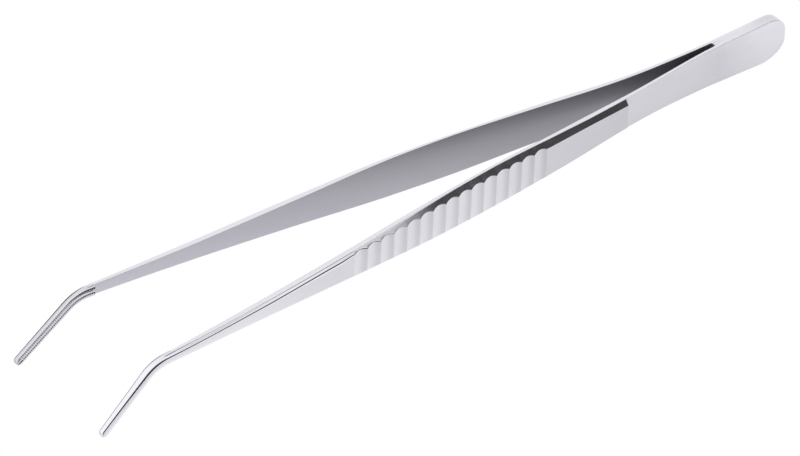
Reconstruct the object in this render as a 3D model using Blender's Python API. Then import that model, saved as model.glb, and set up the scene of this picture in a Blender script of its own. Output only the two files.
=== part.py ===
"""Angled dressing tweezers: two fluted spring arms, welded together at the heel.

Frame: the origin is the middle of the heel's flat end, +X runs towards the tips, +Y towards the
left arm and +Z up. The tips bend down, towards -Z. The arms are drawn at rest, sprung open.

Each arm is one strip of steel that flexes in its thin spring leaf, just in front of the heel.
Here the leaf is cut at the middle of that flexing stretch, into a fixed root and a moving arm.
"""

import math

import bmesh
import bpy
import numpy as np
from mathutils import Vector

MM = 0.001

# Driving dimensions.
BEND_X = 138.4 * MM          # where the centre lines of blade and tip cross
TIP_LENGTH = 14.6 * MM       # from that crossing to the end of the nose
BEND_ANGLE = math.radians(39.6)
BEND_RADIUS = 6.5 * MM
HEEL_ROUND_TOP = 3.4 * MM    # the heel's end is rounded, more tightly at the top
HEEL_ROUND_BOTTOM = 5.3 * MM
HEEL_FLAT_TOP = 1.1 * MM     # how far the small flat at the very end reaches up and down
HEEL_FLAT_BOTTOM = 0.5 * MM
HEEL_HALF_THICKNESS = 1.02 * MM
SLOT_START = 15.3 * MM       # end of the weld, where the two leaves part
SLOT_ROUND = 0.45 * MM
SHOULDER_START = 35.15 * MM  # the thin leaf steps up to the thick grip here
SHOULDER_RUN = 0.55 * MM
FLEX_X = 23.0 * MM           # middle of the flexing stretch: the joint axis
FLEX_GAP = 0.15 * MM         # half the clearance between root and arm
WELD_HALF_THICKNESS = 0.19 * MM
WELD_GAP = 0.03 * MM

# Flutes ground across the outer face of the grip.
FLUTE_COUNT = 15
FLUTE_START = 54.4 * MM
FLUTE_PITCH = 2.84 * MM
FLUTE_DEPTH = 0.32 * MM
FLUTE_STEPS = 6

# Toothed gripping pad on the inner side of each tip.
PAD_START = 135.0 * MM
PAD_RISE = 0.40 * MM
PAD_RUN = 0.12 * MM
PAD_CHAMFER = 0.10 * MM
PAD_START_CHAMFER = 0.36 * MM    # the top edge is broken more deeply where the pad starts
PAD_CHAMFER_RUN = 5.0 * MM
TOOTH_PITCH = 0.36 * MM
TOOTH_DEPTH = 0.13 * MM
NOSE_LENGTH = 0.75 * MM
NOSE_FLAT = 0.3              # share of the tip's height left flat at the very end
NOSE_SLOPE = 0.8             # how steeply the outer face falls away over the nose
NOSE_STEPS = 5
NARROWEST_FACE = 0.35        # the outer face never gets narrower than this share of the arm

# Stations along an arm's centre line, in millimetres: distance from the heel, then the value.
HALF_WIDTH = [(4, 4.15), (16, 3.78), (32, 3.17), (50, 3.64), (66, 4.08), (78, 3.88), (97, 2.66),
              (117, 1.55), (138, 0.95), (154, 0.74)]
INNER_FACE = [(11, 0.46), (15, 0.46), (25, 1.02), (36, 2.0), (56, 4.08), (77, 6.1), (97, 7.62),
              (117, 9.04), (138, 10.6), (154, 11.6)]
EDGE_THICKNESS = [(15, 0.56), (25, 0.6), (34, 0.7), (48, 0.86), (66, 0.62), (77, 0.6), (88, 0.8),
                  (97, 0.98), (117, 0.94), (138, 0.52), (154, 0.34)]
BEVEL = [(35, 0.86), (50, 0.8), (66, 0.95), (80, 0.95), (88, 0.8), (96, 0.52), (117, 0.42),
         (136, 0.41), (147, 0.24), (154, 0.17)]

SATIN_STEEL = {"colour": (0.70, 0.70, 0.73, 1.0), "roughness": 0.34, "metallic": 1.0}
WELD_STEEL = {"colour": (0.66, 0.66, 0.69, 1.0), "roughness": 0.40, "metallic": 1.0}


def remove_everything():
    for old in list(bpy.data.objects):
        bpy.data.objects.remove(old, do_unlink=True)


def smooth_curve(stations):
    """A function of distance in metres that runs smoothly through the stations."""
    places = np.array([place for place, _ in stations]) * MM
    values = np.array([value for _, value in stations]) * MM
    slopes = np.gradient(values, places)

    def at(distance):
        distance = min(max(distance, places[0]), places[-1])
        right = min(max(int(np.searchsorted(places, distance)), 1), len(places) - 1)
        left = right - 1
        span = places[right] - places[left]
        t = (distance - places[left]) / span
        start = (1 + 2 * t) * (1 - t) ** 2 * values[left] + t * (1 - t) ** 2 * span * slopes[left]
        end = t * t * (3 - 2 * t) * values[right] + t * t * (t - 1) * span * slopes[right]
        return float(start + end)

    return at


station_half_width = smooth_curve(HALF_WIDTH)
inner_face = smooth_curve(INNER_FACE)
edge_thickness = smooth_curve(EDGE_THICKNESS)
bevel_size = smooth_curve(BEVEL)

BEND_RUN = BEND_RADIUS * math.tan(BEND_ANGLE / 2)
BEND_START = BEND_X - BEND_RUN
BEND_END = BEND_START + BEND_RADIUS * BEND_ANGLE
ARM_END = BEND_END + TIP_LENGTH - BEND_RUN


def centre_line(distance):
    """Point (x, z) of the bent centre line, and its downward angle, at a distance along it."""
    if distance <= BEND_START:
        return distance, 0.0, 0.0
    angle = (min(distance, BEND_END) - BEND_START) / BEND_RADIUS
    x = BEND_START + BEND_RADIUS * math.sin(angle)
    z = -BEND_RADIUS * (1 - math.cos(angle))
    beyond = max(0.0, distance - BEND_END)
    return x + beyond * math.cos(angle), z - beyond * math.sin(angle), angle


def heel_edge(distance, round_length, flat):
    """Height of the heel's edge above or below the centre line, rounded off at its end."""
    width = station_half_width(distance)
    reach = max(0.0, 1 - distance / round_length)
    return flat + (width - flat) * math.sqrt(1 - reach * reach)


def half_width(distance):
    """Half the height of an arm in front of the heel's rounded end, with its rounded nose."""
    width = station_half_width(distance)
    to_end = ARM_END - distance
    if to_end < NOSE_LENGTH:
        reach = 1 - to_end / NOSE_LENGTH
        width *= NOSE_FLAT + (1 - NOSE_FLAT) * math.sqrt(max(0.0, 1 - reach * reach))
    return width


def flute_depth(distance):
    """Depth of the grip's flutes: a row of equal circular grooves that meet in sharp ridges."""
    along = (distance - FLUTE_START) / FLUTE_PITCH
    if along <= 0 or along >= FLUTE_COUNT:
        return 0.0
    half_chord = FLUTE_PITCH / 2
    radius = (half_chord ** 2 + FLUTE_DEPTH ** 2) / (2 * FLUTE_DEPTH)
    from_middle = (along - math.floor(along) - 0.5) * FLUTE_PITCH
    return max(0.0, math.sqrt(radius ** 2 - from_middle ** 2) - (radius - FLUTE_DEPTH))


def pad_rise(distance):
    """How far the toothed pad stands in from the inner face."""
    teeth_start = PAD_START + PAD_RUN
    if distance <= PAD_START:
        return 0.0
    if distance <= teeth_start:
        return PAD_RISE
    phase = (distance - teeth_start) / TOOTH_PITCH
    valley = 1 - abs(2 * (phase - math.floor(phase + 1e-6)) - 1)
    return PAD_RISE - TOOTH_DEPTH * valley


def arm_section(distance):
    """The arm's outline across its centre line, as (y, height) pairs, for the left arm."""
    width = half_width(distance)
    inner = inner_face(distance)
    edge = inner + edge_thickness(distance)
    bevel = bevel_size(distance)
    shoulder = min(max((distance - SHOULDER_START) / SHOULDER_RUN, 0.0), 1.0)
    rounding = max(0.0, bevel - (ARM_END - distance)) * NOSE_SLOPE
    raised = max(bevel * shoulder - flute_depth(distance) - rounding, 0.0)
    face_half = max(width - (raised if shoulder == 1 else bevel), NARROWEST_FACE * width)
    rise = pad_rise(distance)
    fade = min(max(1 - (distance - PAD_START) / PAD_CHAMFER_RUN, 0.0), 1.0)
    top_chamfer = PAD_CHAMFER + (PAD_START_CHAMFER - PAD_CHAMFER) * fade
    return [
        (inner - rise + min(PAD_CHAMFER, rise), -width), (edge, -width),
        (edge + raised, -face_half), (edge + raised, face_half),
        (edge, width), (inner - rise + min(top_chamfer, rise), width),
        (inner - rise, width - top_chamfer), (inner - rise, PAD_CHAMFER - width),
    ]


def root_section(distance):
    """The welded root and the first stretch of its leaf: a plain rectangle."""
    top = heel_edge(distance, HEEL_ROUND_TOP, HEEL_FLAT_TOP)
    bottom = -heel_edge(distance, HEEL_ROUND_BOTTOM, HEEL_FLAT_BOTTOM)
    welded = WELD_HALF_THICKNESS + WELD_GAP
    slot_tip = SLOT_START - SLOT_ROUND
    if distance <= slot_tip:
        inner = welded
    elif distance < SLOT_START:
        reach = (SLOT_START - distance) / SLOT_ROUND
        round_part = math.sqrt(max(0.0, 1 - reach * reach))
        inner = welded + (inner_face(SLOT_START) - welded) * round_part
    else:
        inner = inner_face(distance)
    outer = max(HEEL_HALF_THICKNESS, inner_face(distance) + edge_thickness(distance))
    return [(inner, bottom), (outer, bottom), (outer, top), (inner, top)]


def weld_section(distance):
    top = heel_edge(distance, HEEL_ROUND_TOP, HEEL_FLAT_TOP)
    bottom = -heel_edge(distance, HEEL_ROUND_BOTTOM, HEEL_FLAT_BOTTOM)
    half = WELD_HALF_THICKNESS
    return [(-half, bottom), (half, bottom), (half, top), (-half, top)]


def evenly(start, end, step):
    count = max(1, round((end - start) / step))
    return [start + (end - start) * i / count for i in range(count + 1)]


def heel_round_stations(count=11):
    """Stations round the heel's end, closer together where it curves most."""
    return [HEEL_ROUND_BOTTOM * (1 - math.cos(math.pi / 2 * i / count)) for i in range(count + 1)]


def nose_stations():
    start = ARM_END - NOSE_LENGTH
    return [start + NOSE_LENGTH * math.sin(math.pi / 2 * i / NOSE_STEPS)
            for i in range(NOSE_STEPS + 1)]


def tooth_stations():
    start = PAD_START + PAD_RUN
    count = int((ARM_END - NOSE_LENGTH - start) / (TOOTH_PITCH / 2))
    return [PAD_START] + [start + i * TOOTH_PITCH / 2 for i in range(count)]


def arm_stations():
    flute_end = FLUTE_START + FLUTE_COUNT * FLUTE_PITCH
    shoulder_end = SHOULDER_START + SHOULDER_RUN
    return (
        evenly(FLEX_X + FLEX_GAP, SHOULDER_START, 3 * MM)
        + evenly(shoulder_end, FLUTE_START, 5 * MM)
        + evenly(FLUTE_START, flute_end, FLUTE_PITCH / FLUTE_STEPS)[1:]
        + evenly(flute_end, PAD_START, 4 * MM)[1:-1]
        + tooth_stations()
        + nose_stations()
    )


def root_stations():
    slot_tip = SLOT_START - SLOT_ROUND
    slot_round = [slot_tip + SLOT_ROUND * (1 - math.cos(math.pi / 2 * i / 4)) for i in range(5)]
    return (
        heel_round_stations()
        + evenly(HEEL_ROUND_BOTTOM, slot_tip, 3 * MM)[1:-1]
        + slot_round
        + evenly(SLOT_START, FLEX_X - FLEX_GAP, 3 * MM)[1:]
    )


def weld_stations():
    return heel_round_stations() + evenly(HEEL_ROUND_BOTTOM, SLOT_START - SLOT_ROUND, 3 * MM)[1:]


def loft(name, stations, section, side=1, origin=Vector((0, 0, 0))):
    """A closed solid through the sections; side -1 mirrors it to the right arm."""
    mesh_data = bmesh.new()
    rings = []
    for distance in stations:
        x, z, angle = centre_line(distance)
        ring = []
        for y, height in section(distance):
            place = Vector((x + height * math.sin(angle), side * y, z + height * math.cos(angle)))
            ring.append(mesh_data.verts.new(place - origin))
        rings.append(ring)
    for ring, following in zip(rings, rings[1:]):
        for i in range(len(ring)):
            j = (i + 1) % len(ring)
            mesh_data.faces.new((ring[i], ring[j], following[j], following[i]))
    mesh_data.faces.new(rings[0])
    mesh_data.faces.new(rings[-1])
    bmesh.ops.recalc_face_normals(mesh_data, faces=mesh_data.faces)
    mesh = bpy.data.meshes.new(name)
    mesh_data.to_mesh(mesh)
    mesh_data.free()
    piece = bpy.data.objects.new(name, mesh)
    piece.location = origin
    bpy.context.scene.collection.objects.link(piece)
    return piece


def steel(name, look):
    material = bpy.data.materials.new(name)
    material.use_nodes = True
    shader = material.node_tree.nodes["Principled BSDF"]
    shader.inputs["Base Color"].default_value = look["colour"]
    shader.inputs["Roughness"].default_value = look["roughness"]
    shader.inputs["Metallic"].default_value = look["metallic"]
    return material


def flex_axis(side):
    """Middle of the leaf's thickness where it flexes; the joint axis is vertical through it."""
    leaf_middle = inner_face(FLEX_X) + edge_thickness(FLEX_X) / 2
    return Vector((FLEX_X, side * leaf_middle, 0))


def build_tweezers():
    remove_everything()
    frame = bpy.data.objects.new("tweezers_frame", None)
    bpy.context.scene.collection.objects.link(frame)

    weld = loft("heel_weld", weld_stations(), weld_section)
    weld.data.materials.append(steel("weld_steel", WELD_STEEL))
    weld.parent = frame
    for word, side in (("left", 1), ("right", -1)):
        root = loft(f"{word}_arm_root", root_stations(), root_section, side)
        arm = loft(f"{word}_arm", arm_stations(), arm_section, side, flex_axis(side))
        for piece in (root, arm):
            piece.data.materials.append(steel(f"{piece.name}_steel", SATIN_STEEL))
            piece.parent = frame


build_tweezers()
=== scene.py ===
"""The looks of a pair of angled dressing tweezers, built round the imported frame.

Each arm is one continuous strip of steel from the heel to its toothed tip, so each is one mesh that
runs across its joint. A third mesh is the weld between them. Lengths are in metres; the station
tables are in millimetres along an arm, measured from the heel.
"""

import math

import bmesh
import bpy
import numpy as np
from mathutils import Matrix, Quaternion, Vector


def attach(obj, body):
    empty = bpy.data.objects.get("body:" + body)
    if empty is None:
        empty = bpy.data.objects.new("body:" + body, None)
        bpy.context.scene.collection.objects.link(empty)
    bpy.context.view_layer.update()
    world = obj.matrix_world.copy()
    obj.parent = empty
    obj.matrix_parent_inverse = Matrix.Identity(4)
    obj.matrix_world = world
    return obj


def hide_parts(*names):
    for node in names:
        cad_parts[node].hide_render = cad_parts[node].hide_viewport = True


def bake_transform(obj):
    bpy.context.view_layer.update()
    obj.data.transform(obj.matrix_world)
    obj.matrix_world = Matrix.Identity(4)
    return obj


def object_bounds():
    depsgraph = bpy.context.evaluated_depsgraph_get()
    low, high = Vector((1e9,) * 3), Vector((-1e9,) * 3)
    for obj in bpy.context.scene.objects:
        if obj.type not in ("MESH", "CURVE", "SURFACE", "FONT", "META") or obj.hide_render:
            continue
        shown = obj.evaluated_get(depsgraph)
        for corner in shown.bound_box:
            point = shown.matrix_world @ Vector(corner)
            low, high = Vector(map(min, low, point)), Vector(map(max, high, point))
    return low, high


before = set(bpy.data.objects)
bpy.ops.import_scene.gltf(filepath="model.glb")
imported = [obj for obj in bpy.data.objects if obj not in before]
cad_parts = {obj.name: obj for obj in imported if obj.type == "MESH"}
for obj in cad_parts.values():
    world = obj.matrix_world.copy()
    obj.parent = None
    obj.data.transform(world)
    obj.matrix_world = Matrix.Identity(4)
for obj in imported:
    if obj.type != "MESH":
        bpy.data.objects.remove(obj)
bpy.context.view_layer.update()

MM = 0.001
LEFT = 1
RIGHT = -1

# The bent centre line of an arm.
BEND_X = 138.4 * MM
BEND_ANGLE = math.radians(39.6)
BEND_RADIUS = 6.5 * MM
TIP_LENGTH = 14.6 * MM
TIP_STRETCH = {LEFT: -0.26 * MM, RIGHT: 0.16 * MM}   # the two tips aren't ground alike

# Heel, slot, and the leaf that flexes.
HEEL_ROUND_TOP = 3.4 * MM
HEEL_ROUND_BOTTOM = 5.3 * MM
HEEL_FLAT_TOP = 1.1 * MM
HEEL_FLAT_BOTTOM = 0.5 * MM
HEEL_HALF_THICKNESS = 1.02 * MM
WELD_HALF_THICKNESS = 0.215 * MM
WELD_SEAM = 0.005 * MM
SLOT_START = 15.3 * MM
SLOT_ROUND = 0.45 * MM

# Shoulder where the thin leaf steps up to the grip.
SHOULDER_START = 35.15 * MM
SHOULDER_RUN = 0.55 * MM

# Flutes ground across the grip.
FLUTE_COUNT = 15
FLUTE_START = 54.4 * MM
FLUTE_PITCH = 2.84 * MM
FLUTE_DEPTH = 0.34 * MM
FLUTE_RIDGE_ROUND = 0.035 * MM
FLUTE_END = FLUTE_START + FLUTE_COUNT * FLUTE_PITCH
LAST_FLUTE = FLUTE_END - FLUTE_PITCH / 2
TAIL_DEPTH = 0.10 * MM           # the last flute fades out into the tapered part
TAIL_RUN = 3.0 * MM

# Toothed pad on the inner side of the tip.
PAD_START = 135.0 * MM
PAD_RISE = 0.40 * MM
PAD_RUN = 0.12 * MM
PAD_TOP_EDGE = 0.32              # reach of the pad's rounded edges, as shares of the half width
PAD_BOTTOM_EDGE = 0.24
PAD_START_EDGE = 0.66            # the top edge is rounded more where the pad starts
PAD_EDGE_RUN = 5.0 * MM
TOOTH_PITCH = 0.36 * MM
TOOTH_DEPTH = 0.04 * MM
NOTCH_SHARE = 0.4                # how much of the pitch each notch takes; the rest is flat
NOSE_LENGTH = 0.80 * MM
NOSE_FLAT = 0.12                 # share of the half width that stays flat at the nose
# Across the pad, from the bottom up: a rounded ridge, a groove, then the rounded top edge. All are
# shares of the half width.
RIDGE_RADIUS = 0.65
RIDGE_BOTTOM = -0.60
RIDGE_ANGLES = (90, 80, 70, 60, 50, 40, 30)
GROOVE_HEIGHT = 0.13
GROOVE_DEPTH = 0.36

# Stations along an arm, in millimetres: distance from the heel, then the value.
HALF_WIDTH = [(4, 4.15), (16, 3.78), (32, 3.17), (50, 3.64), (66, 4.08), (78, 3.88), (97, 2.66),
              (117, 1.55), (138, 0.95), (154, 0.74)]
INNER_FACE = [(11, 0.46), (15, 0.46), (25, 1.02), (36, 2.0), (56, 4.08), (77, 6.1), (97, 7.62),
              (117, 9.04), (138, 10.6), (154, 11.6)]
EDGE_THICKNESS = [(15, 0.56), (25, 0.6), (34, 0.7), (48, 0.86), (66, 0.62), (77, 0.6), (88, 0.8),
                  (97, 0.98), (117, 0.94), (138, 0.52), (154, 0.34)]
BEVEL = [(35, 0.86), (50, 0.8), (66, 0.95), (80, 0.95), (88, 0.8), (96, 0.52), (117, 0.42),
         (136, 0.41), (147, 0.24), (154, 0.17)]
# How much thinner the grip's strip is ground along its top than along its bottom.
TOP_GRIND = [(44, 0.0), (51, 0.16), (60, 0.22), (66, 0.19), (73, 0.10), (79, 0.0)]
# How far each rounded edge reaches from its corner: strip to bevel, and bevel to outer face.
STRIP_EDGE = [(0, 0.12), (14, 0.09), (30, 0.06), (60, 0.05), (78, 0.07), (88, 0.18), (104, 0.23),
              (130, 0.16), (140, 0.40), (154, 0.28)]
FACE_EDGE = [(30, 0.04), (60, 0.05), (78, 0.06), (90, 0.10), (95, 0.16), (99, 0.37), (112, 0.31),
             (121, 0.26), (130, 0.24), (140, 0.32), (154, 0.22)]

GRIND_INSET = 0.4                # share of the top grind by which the top bevel also gets wider
SLANT_SHARE = 0.5                # most of a bevel's slope that either rounded edge may take
LOWER_EDGE = 0.4                 # the lower edges are rounded by only this share of that
INNER_EDGE = 0.06 * MM
WELD_EDGE = 0.004 * MM           # the arms are ground flush with the weld
FACE_CROWN = 0.03 * MM           # how far the broad outer face bulges in its middle
SHARP_ANGLE = math.radians(32)   # faces that meet at more than this keep a sharp edge

# How finely the meshes are cut.
CORNER_STEPS = 4
FACE_STEPS = 5
HEEL_STEPS = 28
SLOT_STEPS = 6
SHOULDER_STEPS = 8
FLUTE_STEPS = 18
TAIL_STEPS = 10
TOOTH_STEPS = 4
NOSE_STEPS = 10
HEEL_STEP = 1.5 * MM
PLAIN_STEP = 1.0 * MM
TINY = 1e-6                      # slack for rounding where stations are compared


def unit(value):
    """A value held between zero and one."""
    return min(max(value, 0.0), 1.0)


def smooth_curve(stations):
    """A function of distance in metres that runs smoothly through the stations."""
    places = np.array([place for place, _ in stations]) * MM
    values = np.array([value for _, value in stations]) * MM
    slopes = np.gradient(values, places)

    def at(distance):
        distance = min(max(distance, places[0]), places[-1])
        right = min(max(int(np.searchsorted(places, distance)), 1), len(places) - 1)
        left = right - 1
        span = places[right] - places[left]
        t = (distance - places[left]) / span
        start = (1 + 2 * t) * (1 - t) ** 2 * values[left] + t * (1 - t) ** 2 * span * slopes[left]
        end = t * t * (3 - 2 * t) * values[right] + t * t * (t - 1) * span * slopes[right]
        return float(start + end)

    return at


half_width = smooth_curve(HALF_WIDTH)
inner_face = smooth_curve(INNER_FACE)
edge_thickness = smooth_curve(EDGE_THICKNESS)
bevel_size = smooth_curve(BEVEL)
top_grind = smooth_curve(TOP_GRIND)
strip_edge = smooth_curve(STRIP_EDGE)
face_edge = smooth_curve(FACE_EDGE)

BEND_RUN = BEND_RADIUS * math.tan(BEND_ANGLE / 2)
BEND_START = BEND_X - BEND_RUN
BEND_END = BEND_START + BEND_RADIUS * BEND_ANGLE
ARM_END = BEND_END + TIP_LENGTH - BEND_RUN
SLOT_TIP = SLOT_START - SLOT_ROUND


def centre_line(distance):
    """Point (x, z) of the bent centre line, and its downward angle, at a distance along it."""
    if distance <= BEND_START:
        return distance, 0.0, 0.0
    angle = (min(distance, BEND_END) - BEND_START) / BEND_RADIUS
    x = BEND_START + BEND_RADIUS * math.sin(angle)
    z = -BEND_RADIUS * (1 - math.cos(angle))
    beyond = max(0.0, distance - BEND_END)
    return x + beyond * math.cos(angle), z - beyond * math.sin(angle), angle


def flute_depth(distance):
    """Depth of the grip's circular grooves, with their ridges very slightly rounded."""
    along = (distance - FLUTE_START) / FLUTE_PITCH
    if along <= 0:
        return 0.0
    if along >= FLUTE_COUNT:
        fade = max(0.0, 1 - (distance - FLUTE_END) / TAIL_RUN)
        return TAIL_DEPTH * fade * fade * (3 - 2 * fade)
    half_chord = FLUTE_PITCH / 2
    radius = (half_chord ** 2 + FLUTE_DEPTH ** 2) / (2 * FLUTE_DEPTH)
    from_middle = (along - math.floor(along) - 0.5) * FLUTE_PITCH
    depth = max(0.0, math.sqrt(radius ** 2 - from_middle ** 2) - (radius - FLUTE_DEPTH))
    depth = math.sqrt(depth ** 2 + FLUTE_RIDGE_ROUND ** 2) - FLUTE_RIDGE_ROUND
    return max(depth, TAIL_DEPTH) if distance > LAST_FLUTE else depth


def on_pad(distance):
    """Zero on the plain arm, one on the pad, with a short slope between them."""
    return unit((distance - PAD_START) / PAD_RUN)


def pad_top_edge(distance):
    """Reach of the pad's top edge, which eases from its start to the rest of the pad."""
    to_start = unit(1 - (distance - PAD_START) / PAD_EDGE_RUN)
    return PAD_TOP_EDGE + (PAD_START_EDGE - PAD_TOP_EDGE) * to_start


def tooth_depth(distance):
    """Depth of the V-shaped notches that cross the pad, each at the end of its pitch."""
    phase = (distance - PAD_START - PAD_RUN) / TOOTH_PITCH
    if phase <= 0:
        return 0.0
    from_middle = abs(phase - math.floor(phase + TINY) - (1 - NOTCH_SHARE / 2))
    return TOOTH_DEPTH * max(0.0, 1 - from_middle / (NOTCH_SHARE / 2))


def inner_y(distance):
    """The inner face, which closes up to the weld at the end of the slot."""
    welded = WELD_HALF_THICKNESS + WELD_SEAM
    if distance <= SLOT_TIP:
        return welded
    if distance < SLOT_START:
        reach = (SLOT_START - distance) / SLOT_ROUND
        return welded + (inner_face(SLOT_START) - welded) * math.sqrt(max(0.0, 1 - reach * reach))
    return inner_face(distance) - PAD_RISE * on_pad(distance)


def pad_section(top_edge):
    """The pad's face from bottom to top, as (height, depth) pairs: the ridge, then the groove."""
    section = []
    for angle in RIDGE_ANGLES:
        turn = math.radians(angle)
        height = RIDGE_BOTTOM + RIDGE_RADIUS * math.cos(turn)
        section.append((height, RIDGE_RADIUS * (1 - math.sin(turn))))
    return section + [(GROOVE_HEIGHT, GROOVE_DEPTH), (1 - top_edge, 0.0)]


def rounded_corner(before, corner, after, reach_before, reach_after):
    """Points of a smooth arc that replaces a corner, reaching a length before and after it."""
    before, corner, after = np.array(before), np.array(corner), np.array(after)
    start = corner + (before - corner) * reach_before / np.linalg.norm(before - corner)
    end = corner + (after - corner) * reach_after / np.linalg.norm(after - corner)
    shares = [i / CORNER_STEPS for i in range(CORNER_STEPS + 1)]
    return [(1 - t) ** 2 * start + 2 * t * (1 - t) * corner + t * t * end for t in shares]


def half_profile(distance, pad_edge, shrink, rounding=1.0, grind=0.0):
    """From inner face to outer face over one edge, as (inset from the outline, y) pairs."""
    inner = inner_y(distance)
    full_edge = max(HEEL_HALF_THICKNESS, inner_face(distance) + edge_thickness(distance))
    edge = full_edge - grind
    bevel = bevel_size(distance)
    step = unit((distance - SHOULDER_START) / SHOULDER_RUN)
    flute = flute_depth(distance)
    outer = full_edge + bevel * (1 - math.cos(step * math.pi / 2)) - flute
    inset = bevel + GRIND_INSET * grind - flute
    deep = 2 * bevel
    slope = math.hypot(inset, outer - edge)

    plain_edge = WELD_EDGE if distance < SLOT_TIP else INNER_EDGE
    inner_reach = (plain_edge + (pad_edge - plain_edge) * on_pad(distance)) * shrink
    strip_reach = strip_edge(distance) * shrink * rounding
    face_reach = face_edge(distance) * shrink * rounding
    inner_corner = rounded_corner((deep, inner), (0, inner), (0, edge), inner_reach, inner_reach)
    for i in range(CORNER_STEPS + 1):
        inner_corner[i][1] += tooth_depth(distance) * (1 - i / CORNER_STEPS) ** 2
    strip_corner = rounded_corner((0, inner), (0, edge), (inset, outer),
                                  strip_reach, min(strip_reach, SLANT_SHARE * slope))
    face_corner = rounded_corner((0, edge), (inset, outer), (deep, outer),
                                 min(face_reach, SLANT_SHARE * slope), face_reach)
    return inner_corner + strip_corner + face_corner


def evenly(start, end, step):
    """Distances from start up to but not including end, a whole number of equal steps."""
    count = max(1, round((end - start) / step))
    return [start + (end - start) * i / count for i in range(count)]


def flute_stations():
    """Stations through the flutes, closer together towards the ridges."""
    shares = [(1 - math.cos(math.pi * i / FLUTE_STEPS)) / 2 for i in range(FLUTE_STEPS)]
    return [FLUTE_START + (i + share) * FLUTE_PITCH for i in range(FLUTE_COUNT) for share in shares]


def body_stations():
    """Distances along an arm between its rounded heel and its rounded nose."""
    slot_end = [SLOT_TIP + SLOT_ROUND * (1 - math.cos(math.pi / 2 * i / SLOT_STEPS))
                for i in range(SLOT_STEPS)]
    shoulder_end = SHOULDER_START + SHOULDER_RUN
    tail_end = FLUTE_END + TAIL_RUN
    teeth_start = PAD_START + PAD_RUN
    tooth_count = int((ARM_END - NOSE_LENGTH - teeth_start) / TOOTH_PITCH)
    teeth_end = teeth_start + tooth_count * TOOTH_PITCH
    return (
        evenly(HEEL_ROUND_BOTTOM, SLOT_TIP, HEEL_STEP)[1:]
        + slot_end
        + evenly(SLOT_START, SHOULDER_START, PLAIN_STEP)
        + evenly(SHOULDER_START, shoulder_end, SHOULDER_RUN / SHOULDER_STEPS)
        + evenly(shoulder_end, FLUTE_START, PLAIN_STEP)
        + flute_stations()
        + evenly(FLUTE_END, tail_end, TAIL_RUN / TAIL_STEPS)
        + evenly(tail_end, PAD_START, PLAIN_STEP)
        + [PAD_START]
        + evenly(teeth_start, teeth_end, TOOTH_PITCH / TOOTH_STEPS)
        + [teeth_end]
    )


def outline(round_length, flat):
    """One edge of an arm seen from the side: points (distance, height) from heel to nose.

    The bottom is rounded over more length than the top. After the round, the top's stations lag
    behind the bottom's and catch up by the slot.
    """
    points = []
    for i in range(HEEL_STEPS + 1):
        turn = math.pi / 2 * i / HEEL_STEPS
        distance = round_length * (1 - math.cos(turn))
        points.append((distance, flat + (half_width(distance) - flat) * math.sin(turn)))
    for distance in body_stations():
        to_slot = unit((SLOT_TIP - distance) / (SLOT_TIP - HEEL_ROUND_BOTTOM))
        distance -= (HEEL_ROUND_BOTTOM - round_length) * to_slot
        points.append((distance, half_width(distance)))
    for i in range(NOSE_STEPS + 1):
        turn = math.pi / 2 * i / NOSE_STEPS
        distance = ARM_END - NOSE_LENGTH + NOSE_LENGTH * math.sin(turn)
        height = half_width(distance) * (NOSE_FLAT + (1 - NOSE_FLAT) * math.cos(turn))
        points.append((distance, height))
    return np.array(points)


def outward(points):
    """Unit normals of an outline, pointing away from the centre line; the two ends are square."""
    tangent = np.empty_like(points)
    tangent[1:-1] = points[2:] - points[:-2]
    tangent[0] = (0, 1)
    tangent[-1] = (0, -1)
    normal = np.stack([-tangent[:, 1], tangent[:, 0]], axis=1)
    return normal / np.linalg.norm(normal, axis=1)[:, None]


TOP = outline(HEEL_ROUND_TOP, HEEL_FLAT_TOP)
BOTTOM = outline(HEEL_ROUND_BOTTOM, HEEL_FLAT_BOTTOM)
TOP_NORMALS = outward(TOP)
BOTTOM_NORMALS = outward(BOTTOM)

# Points in each stretch of a ring: up the inner face, over the top edge, down the outer face, and
# back over the bottom edge.
INNER_COUNT = len(pad_section(PAD_TOP_EDGE))
CHAIN = 3 * (CORNER_STEPS + 1)
RING = INNER_COUNT + CHAIN + FACE_STEPS + CHAIN


def edge_points(place, normal, sign, profile):
    """A profile set in from one point of an outline, as (distance, height, y)."""
    points = []
    for inset, y in profile:
        distance, height = place - normal * inset
        points.append((distance, sign * height, y))
    return points


def between(low, high, height, depth):
    """The point at a height on the line from low to high, moved outwards by a depth."""
    share = (height - low[1]) / (high[1] - low[1])
    return (low[0] + (high[0] - low[0]) * share, height, low[2] + depth)


def arm_ring(index):
    """One ring round an arm, as (distance, height, y): up the inner face and down the outer one."""
    distance = BOTTOM[index][0]
    width = half_width(distance)
    padded = distance > PAD_START
    shrink = TOP[index][1] / width if padded else 1.0
    top_edge = pad_top_edge(distance)
    top_profile = half_profile(distance, top_edge * width, shrink, grind=top_grind(distance))
    bottom_profile = half_profile(distance, PAD_BOTTOM_EDGE * width, shrink, LOWER_EDGE)
    top = edge_points(TOP[index], TOP_NORMALS[index], 1, top_profile)
    bottom = edge_points(BOTTOM[index], BOTTOM_NORMALS[index], -1, bottom_profile)

    inner = []
    scale = width * shrink if padded else MM
    for height, depth in pad_section(top_edge):
        inner.append(between(bottom[0], top[0], height * scale, depth * scale * on_pad(distance)))
    outer = []
    for i in range(FACE_STEPS):
        share = (i + 0.5) / FACE_STEPS
        high, low = np.array(top[-1]), np.array(bottom[-1])
        place = high + (low - high) * share
        place[2] += FACE_CROWN * 4 * share * (1 - share)
        outer.append(tuple(place))
    return inner + top + outer + bottom[::-1]


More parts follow.
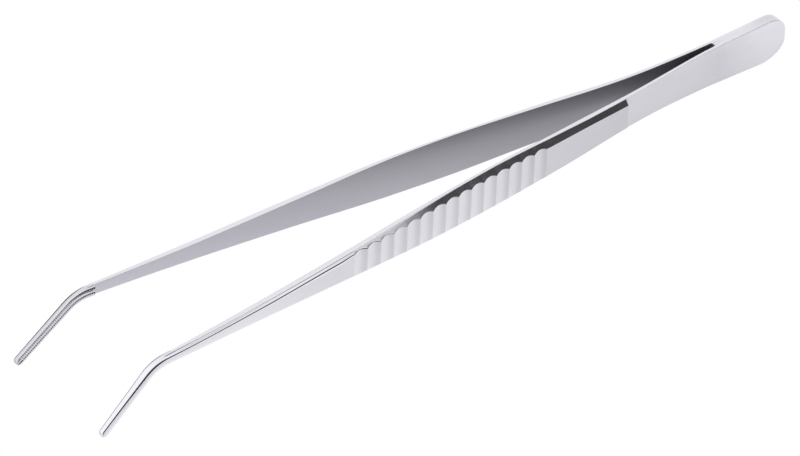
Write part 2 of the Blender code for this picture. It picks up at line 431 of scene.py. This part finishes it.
def ring_part(column):
    """Which surface lies between a ring's point and the next one."""
    if column < INNER_COUNT or column == RING - 1:
        return "inner"
    along = column - INNER_COUNT
    if along >= CHAIN + FACE_STEPS:
        along = RING - 2 - column
    if along < CORNER_STEPS:
        return "inner"
    if along < 2 * CORNER_STEPS + 1:
        return "strip"
    return "bevel" if along < CHAIN - 1 else "face"


def material_at(part, distance, side):
    """The material of a surface at a distance along an arm; only the right pad's strip gets painted
    shade.
    """
    if part == "inner":
        return "pad_teeth" if distance > PAD_START else "inner_satin"
    if part == "strip" and distance > PAD_START and side == RIGHT:
        return "strip_worn"
    if part == "strip":
        return "strip_satin" if distance < FLUTE_END else "strip_polish"
    if distance < SHOULDER_START + SHOULDER_RUN:
        return "leaf_satin"
    if part == "bevel":
        return "bevel_polish"
    if distance < FLUTE_START:
        return "grip_satin"
    return "flute_satin" if distance < FLUTE_END else "taper_ground"


def edge_wear(column):
    """One in the middle of a rounded edge, where handling polishes it, and zero elsewhere."""
    along = column - INNER_COUNT
    if along >= CHAIN + FACE_STEPS:
        along = RING - 1 - column
    if along < 0 or along >= CHAIN:
        return 0.0
    step = along % (CORNER_STEPS + 1)
    return math.sin(math.pi * step / CORNER_STEPS)


def place_on_arm(distance, height, y, side):
    """A ring's point in the frame, on the left or right arm."""
    along_tip = max(0.0, distance - BEND_END) / (ARM_END - BEND_END)
    x, z, angle = centre_line(distance + TIP_STRETCH[side] * along_tip)
    return Vector((x + height * math.sin(angle), side * y, z + height * math.cos(angle)))


def end_strips(first):
    """Faces that close the end of an arm, joining the top half of its ring to the bottom half."""
    up = [first + INNER_COUNT + k for k in range(CHAIN)]
    down = [first + RING - 1 - k for k in range(CHAIN)]
    strips = [(up[k], up[k + 1], down[k + 1], down[k]) for k in range(CHAIN - 1)]
    strips.append(tuple(first + k for k in range(INNER_COUNT)) + (up[0], down[0]))
    outer = tuple(first + INNER_COUNT + CHAIN + k for k in range(FACE_STEPS))
    strips.append((up[-1],) + outer + (down[-1],))
    return strips


def build_arm(name, side):
    """An arm: rings from heel to nose, closed at both ends."""
    rings = [arm_ring(i) for i in range(len(TOP))]
    points = [point for ring in rings for point in ring]
    faces = []
    looks = []
    for i in range(len(rings) - 1):
        middle = (BOTTOM[i][0] + BOTTOM[i + 1][0]) / 2
        for j in range(RING):
            k = (j + 1) % RING
            faces.append((i * RING + j, i * RING + k, (i + 1) * RING + k, (i + 1) * RING + j))
            looks.append(material_at(ring_part(j), middle, side))
    end_parts = [ring_part(INNER_COUNT + k) for k in range(CHAIN - 1)] + ["inner", "face"]
    for i, distance in ((0, 0.0), (len(rings) - 1, ARM_END)):
        faces.extend(end_strips(i * RING))
        looks.extend(material_at(part, distance, side) for part in end_parts)
    wear = [edge_wear(j) for j in range(RING)] * len(rings)
    return finish_mesh(name, points, faces, looks, wear, side)


def build_weld():
    """The plate of weld metal that fills the heel between the two arms, ground flush with them."""
    rings = [i for i in range(len(TOP)) if BOTTOM[i][0] <= SLOT_TIP + TINY]
    half = WELD_HALF_THICKNESS
    points = []
    for i in rings:
        for edge, sign in ((TOP, 1), (BOTTOM, -1)):
            points.extend((edge[i][0], sign * edge[i][1], y) for y in (-half, half))
    corners = (0, 1, 3, 2)
    faces = []
    for i in range(len(rings) - 1):
        for j in range(4):
            low, high = corners[j], corners[(j + 1) % 4]
            faces.append((4 * i + low, 4 * i + high, 4 * i + 4 + high, 4 * i + 4 + low))
    last = 4 * (len(rings) - 1)
    faces.append(corners)
    faces.append(tuple(last + corner for corner in corners))
    looks = ["weld_satin"] * len(faces)
    return finish_mesh("heel_weld_steel", points, faces, looks, [0.0] * len(points), LEFT)


def finish_mesh(name, points, faces, looks, wear, side):
    """A shaded object. Each vertex keeps its place along and across the arm, for the grain."""
    used = sorted(set(looks))
    mesh = bpy.data.meshes.new(name)
    mesh.from_pydata([place_on_arm(*point, side) for point in points], [], faces)
    for look in used:
        mesh.materials.append(bpy.data.materials[look])
    mesh.polygons.foreach_set("material_index", [used.index(look) for look in looks])
    place = mesh.attributes.new("arm_place", "FLOAT_VECTOR", "POINT")
    across = [(distance / MM, height / MM, side * y / MM) for distance, height, y in points]
    place.data.foreach_set("vector", np.array(across).ravel())
    mesh.attributes.new("edge_wear", "FLOAT", "POINT").data.foreach_set("value", wear)
    outwards = bmesh.new()
    outwards.from_mesh(mesh)
    bmesh.ops.recalc_face_normals(outwards, faces=outwards.faces)
    outwards.to_mesh(mesh)
    outwards.free()
    mesh.shade_smooth()
    shade_evenly(mesh)
    piece = bpy.data.objects.new(name, mesh)
    bpy.context.scene.collection.objects.link(piece)
    return piece


def shade_evenly(mesh):
    """Weight each corner's normal by face area, so that rounded edges blend into flat faces.

    Faces that meet at more than SHARP_ANGLE keep a sharp edge between them.
    """
    around = [[] for _ in mesh.vertices]
    for face in mesh.polygons:
        for vertex in face.vertices:
            around[vertex].append(face.index)
    normals = [face.normal.copy() for face in mesh.polygons]
    areas = [face.area for face in mesh.polygons]
    corner_normals = []
    for face in mesh.polygons:
        for vertex in face.vertices:
            total = Vector()
            for other in around[vertex]:
                if normals[face.index].dot(normals[other]) > math.cos(SHARP_ANGLE):
                    total += normals[other] * (areas[other] / MM ** 2)
            corner_normals.append(total.normalized())
    mesh.normals_split_custom_set(corner_normals)


# Node helpers. A socket or a plain value can feed any input.

def node(tree, kind, inputs, **settings):
    made = tree.nodes.new(kind)
    for key, value in settings.items():
        setattr(made, key, value)
    for key, value in inputs.items():
        if isinstance(value, bpy.types.NodeSocket):
            tree.links.new(value, made.inputs[key])
        else:
            made.inputs[key].default_value = value
    return made


def maths(tree, operation, first, second):
    return node(tree, "ShaderNodeMath", {0: first, 1: second}, operation=operation).outputs[0]


def ranged(tree, value, low, high, out_low, out_high):
    """A value eased from one range to another and held at its ends."""
    inputs = {"Value": value, "From Min": low, "From Max": high, "To Min": out_low, "To Max": out_high}
    return node(tree, "ShaderNodeMapRange", inputs, interpolation_type="SMOOTHSTEP").outputs["Result"]


def noise(tree, place, stretch, detail, rough=0.5):
    """Noise of about one cell for each unit of the stretched place, centred on zero."""
    scaled = node(tree, "ShaderNodeVectorMath", {0: place, 1: stretch}, operation="MULTIPLY")
    inputs = {"Vector": scaled.outputs[0], "Scale": 1.0, "Detail": detail, "Roughness": rough}
    made = node(tree, "ShaderNodeTexNoise", inputs)
    return maths(tree, "SUBTRACT", made.outputs["Fac"], 0.5)


# What all the steels share. Mottle and pits are in cells per millimetre.
MOTTLE = (0.22, 0.4, 0.4)
PITS = (11, 11, 11)
MOTTLE_TONE = 0.05
WEAR_TONE = 0.02
MOTTLE_SHIFT = 3.0               # millimetres by which it moves a change of tone along the arm
MOTTLE_ROUGHNESS = 0.12
WEAR_POLISH = 0.08
PIT_DEPTH = 0.4                  # share of the grain's height


def steel(name, colour, roughness, grain, depth, streaks=0.05, spread=0.1, tone_along=None, painted_height_shading=None):
    """Steel with a grain. `grain` is cells per millimetre along, up and across an arm.

    `depth` is the grain's height, `streaks` how far it varies the colour, `spread` the roughness.
    `tone_along` is (start, end, low, high): the steel's tone eases from low to high along the arm; on
    several steels it holds painted shade and painted light.
    `painted_height_shading` is the same for how much the tone changes with each millimetre of height:
    painted shade and painted light, darker or lighter towards the top.
    """
    material = bpy.data.materials.new(name)
    material.use_nodes = True
    tree = material.node_tree
    shader = tree.nodes["Principled BSDF"]
    place = node(tree, "ShaderNodeAttribute", {}, attribute_name="arm_place").outputs["Vector"]
    wear = node(tree, "ShaderNodeAttribute", {}, attribute_name="edge_wear").outputs["Fac"]
    lines = noise(tree, place, grain, detail=4.0, rough=0.7)
    mottle = noise(tree, place, MOTTLE, detail=3.0)
    pits = noise(tree, place, PITS, detail=1.0)

    tone = maths(tree, "MULTIPLY", lines, streaks)
    tone = maths(tree, "ADD", tone, maths(tree, "MULTIPLY", mottle, MOTTLE_TONE))
    tone = maths(tree, "ADD", tone, maths(tree, "MULTIPLY", wear, WEAR_TONE))
    tone = maths(tree, "ADD", tone, 1.0)
    parts = node(tree, "ShaderNodeSeparateXYZ", {0: place})
    along = maths(tree, "ADD", parts.outputs[0], maths(tree, "MULTIPLY", mottle, MOTTLE_SHIFT))
    if painted_height_shading:
        change = maths(tree, "MULTIPLY", parts.outputs[1], ranged(tree, along, *painted_height_shading))
        tone = maths(tree, "ADD", tone, change)
    if tone_along:
        tone = maths(tree, "MULTIPLY", tone, ranged(tree, along, *tone_along))
    tinted = node(tree, "ShaderNodeVectorMath", {0: colour, "Scale": tone}, operation="SCALE")
    tree.links.new(tinted.outputs[0], shader.inputs["Base Color"])

    gloss = maths(tree, "MULTIPLY", lines, spread)
    gloss = maths(tree, "ADD", gloss, maths(tree, "MULTIPLY", mottle, MOTTLE_ROUGHNESS))
    gloss = maths(tree, "SUBTRACT", gloss, maths(tree, "MULTIPLY", wear, WEAR_POLISH * roughness))
    gloss = maths(tree, "ADD", gloss, roughness)
    tree.links.new(gloss, shader.inputs["Roughness"])
    shader.inputs["Metallic"].default_value = 1.0

    relief = maths(tree, "ADD", lines, maths(tree, "MULTIPLY", pits, PIT_DEPTH))
    bump = node(tree, "ShaderNodeBump", {"Strength": 1.0, "Distance": depth, "Height": relief})
    tree.links.new(bump.outputs["Normal"], shader.inputs["Normal"])


ALONG = (0.10, 3.0, 3.0)
ACROSS = (3.0, 0.12, 0.12)
MATT = (2.2, 2.2, 2.2)
STEEL = (0.672, 0.666, 0.714)
BRIGHT_STEEL = (0.706, 0.700, 0.748)
# A darker copy of the steel for the inner faces: painted shade, as they get less light.
SHADED_INNER_STEEL = (0.587, 0.580, 0.634)
# A darker copy of the steel for the pad: painted shade for the weaker light on the inner side.
SHADED_TOOTH_STEEL = (0.605, 0.60, 0.642)
HEEL_DARKER = (1, 9, 0.88, 1.0)


def make_steels():
    # Inner faces: painted shade, darker towards the slot where the arms shade each other, and darker
    # towards the top.
    steel("inner_satin", SHADED_INNER_STEEL, 0.54, MATT, 0.002 * MM, streaks=0.18, tone_along=(15, 165, 0.53, 1.21),
          painted_height_shading=(60, 105, -0.07, -0.03))
    steel("strip_satin", BRIGHT_STEEL, 0.30, ALONG, 0.001 * MM, tone_along=HEEL_DARKER)
    steel("strip_polish", BRIGHT_STEEL, 0.14, ALONG, 0.0004 * MM, streaks=0.03, spread=0.05)
    # The right pad's strip is painted darker towards the tip: a painted dark reflection along the far
    # tip's edge.
    steel("strip_worn", BRIGHT_STEEL, 0.16, ALONG, 0.0006 * MM, streaks=0.06,
          tone_along=(134, 140, 1.0, 0.76))
    steel("bevel_polish", BRIGHT_STEEL, 0.10, ALONG, 0.0006 * MM, streaks=0.03, spread=0.05)
    # Leaf: a painted highlight, lighter at the rounded heel end, and painted light, lighter towards
    # the top.
    steel("leaf_satin", STEEL, 0.42, ACROSS, 0.0015 * MM, streaks=0.10, tone_along=(3, 17, 1.13, 0.94),
          painted_height_shading=(5, 20, 0.016, 0.010))
    # Grip: painted light, slightly lighter towards the top.
    steel("grip_satin", STEEL, 0.38, ALONG, 0.0015 * MM, streaks=0.12, tone_along=(35, 58, 0.82, 0.88),
          painted_height_shading=(35, 50, 0.004, 0.006))
    steel("flute_satin", STEEL, 0.36, ACROSS, 0.0015 * MM, streaks=0.09, tone_along=(54, 70, 0.92, 1.0))
    steel("taper_ground", STEEL, 0.30, ALONG, 0.0015 * MM, streaks=0.12, tone_along=(97, 125, 0.91, 1.05))
    # The pad is a darker copy of the steel: painted shade for the weaker light on the inner side.
    steel("pad_teeth", SHADED_TOOTH_STEEL, 0.16, ACROSS, 0.001 * MM)
    steel("weld_satin", BRIGHT_STEEL, 0.32, ALONG, 0.001 * MM, tone_along=HEEL_DARKER)


def place_pieces():
    """The two arms, each one mesh across its joint, and the weld that rides on the heel."""
    for side, word in ((LEFT, "left"), (RIGHT, "right")):
        arm = build_arm(f"{word}_arm_steel", side)
        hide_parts(f"{word}_arm", f"{word}_arm_root")
        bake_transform(arm)
    weld = build_weld()
    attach(weld, "heel")
    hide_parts("heel_weld")


make_steels()
place_pieces()


# The studio, as seen from the tool. Each card is (where it stands, its reach in degrees, how much
# of the light is left there).
CARDS = [
    ((-0.75, 0.47, 0.465), 17.5, 0.06),     # black, beyond the far side of the grip
    ((-0.17, 0.984, -0.05), 26.5, 0.03),    # black, left of the tool
    ((-0.66, 0.75, 0.0), 14.0, 0.06),       # black, between those two
    ((0.03, -0.998, 0.045), 26.0, 0.03),    # black, right of the tool
    ((-0.49, 0.0, 0.87), 9.5, 0.08),        # gap between two lamps overhead
    ((-0.49, 0.62, 0.613), 13.0, 1.14),     # white
    ((0.40, 0.79, 0.46), 18.0, 0.75),       # grey
]
CARD_SOFTNESS = 2.4              # degrees
DOME_LIGHT = (1.10, 1.28)        # over the heel, and over the tips
DOME_RUN = (-0.5, 0.5)
FLOOR_LIGHT = (0.98, 1.15)       # away from the bright side, and towards it
FLOOR_RUN = (-0.1, 0.8)
BRIGHT_SIDE = (-0.95, 0.3, 0)
HORIZON = (-0.1, 0.1)
FLOOR_REACH = 3.0
WHITE = (1, 1, 1, 1)


def facing(tree, direction, aim):
    """How squarely a direction points the way of an aim: one when it does."""
    inputs = {0: direction, 1: Vector(aim).normalized()}
    return node(tree, "ShaderNodeVectorMath", inputs, operation="DOT_PRODUCT").outputs["Value"]


def build_studio():
    """A bright dome over a bright floor, with a few dark cards that draw the edges.

    The camera itself sees plain white.
    """
    world = bpy.data.worlds.new("studio")
    bpy.context.scene.world = world
    world.use_nodes = True
    tree = world.node_tree
    direction = node(tree, "ShaderNodeTexCoord", {}).outputs["Generated"]
    parts = node(tree, "ShaderNodeSeparateXYZ", {0: direction})
    dome = ranged(tree, parts.outputs[0], *DOME_RUN, *DOME_LIGHT)
    ground = ranged(tree, facing(tree, direction, BRIGHT_SIDE), *FLOOR_RUN, *FLOOR_LIGHT)
    over = ranged(tree, parts.outputs[2], *HORIZON, 0.0, 1.0)
    light = maths(tree, "ADD", maths(tree, "MULTIPLY", dome, over),
                  maths(tree, "MULTIPLY", ground, maths(tree, "SUBTRACT", 1.0, over)))
    for aim, reach, level in CARDS:
        near = math.cos(math.radians(reach - CARD_SOFTNESS))
        far = math.cos(math.radians(reach + CARD_SOFTNESS))
        card = ranged(tree, facing(tree, direction, aim), far, near, 1.0, level)
        light = maths(tree, "MULTIPLY", light, card)
    seen = node(tree, "ShaderNodeLightPath", {}).outputs["Is Camera Ray"]
    unseen = maths(tree, "SUBTRACT", 1.0, seen)
    light = maths(tree, "ADD", maths(tree, "MULTIPLY", light, unseen), seen)
    background = tree.nodes["Background"]
    background.inputs["Color"].default_value = WHITE
    tree.links.new(light, background.inputs["Strength"])


def build_floor():
    """A plain pale floor, lit evenly enough to show no shadow."""
    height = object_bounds()[0].z
    corners = [(-FLOOR_REACH, -FLOOR_REACH, height), (FLOOR_REACH, -FLOOR_REACH, height),
               (FLOOR_REACH, FLOOR_REACH, height), (-FLOOR_REACH, FLOOR_REACH, height)]
    mesh = bpy.data.meshes.new("floor")
    mesh.from_pydata(corners, [], [(0, 1, 2, 3)])
    floor = bpy.data.objects.new("floor", mesh)
    bpy.context.scene.collection.objects.link(floor)
    material = bpy.data.materials.new("pale_floor")
    material.use_nodes = True
    tree = material.node_tree
    glow = node(tree, "ShaderNodeEmission", {"Color": WHITE, "Strength": 1.0})
    tree.links.new(glow.outputs[0], tree.nodes["Material Output"].inputs["Surface"])
    mesh.materials.append(material)
    floor.visible_glossy = False
    floor.visible_diffuse = False
    floor.visible_shadow = False


build_studio()
build_floor()


# The camera, a long way off with a long lens.
TARGET = Vector((84.815, 5.424, 0.0)) * MM
AZIMUTH = math.radians(51.36)
ELEVATION = math.radians(38.28)
ROLL = math.radians(2.147)
DISTANCE = 1532.25 * MM
LENS = 421.62                    # millimetres, as is the sensor
SENSOR_WIDTH = 36.0
FARTHEST = 10.0


def build_camera():
    lens = bpy.data.cameras.new("camera")
    lens.lens = LENS
    lens.sensor_width = SENSOR_WIDTH
    lens.clip_end = FARTHEST
    camera = bpy.data.objects.new("camera", lens)
    bpy.context.scene.collection.objects.link(camera)
    bpy.context.scene.camera = camera
    back = Vector((math.cos(ELEVATION) * math.cos(AZIMUTH),
                   math.cos(ELEVATION) * math.sin(AZIMUTH),
                   math.sin(ELEVATION)))
    camera.location = TARGET + back * DISTANCE
    camera.rotation_mode = "QUATERNION"
    camera.rotation_quaternion = (-back).to_track_quat("-Z", "Y") @ Quaternion((0, 0, 1), ROLL)


build_camera()
bpy.context.scene.view_settings.view_transform = "Standard"
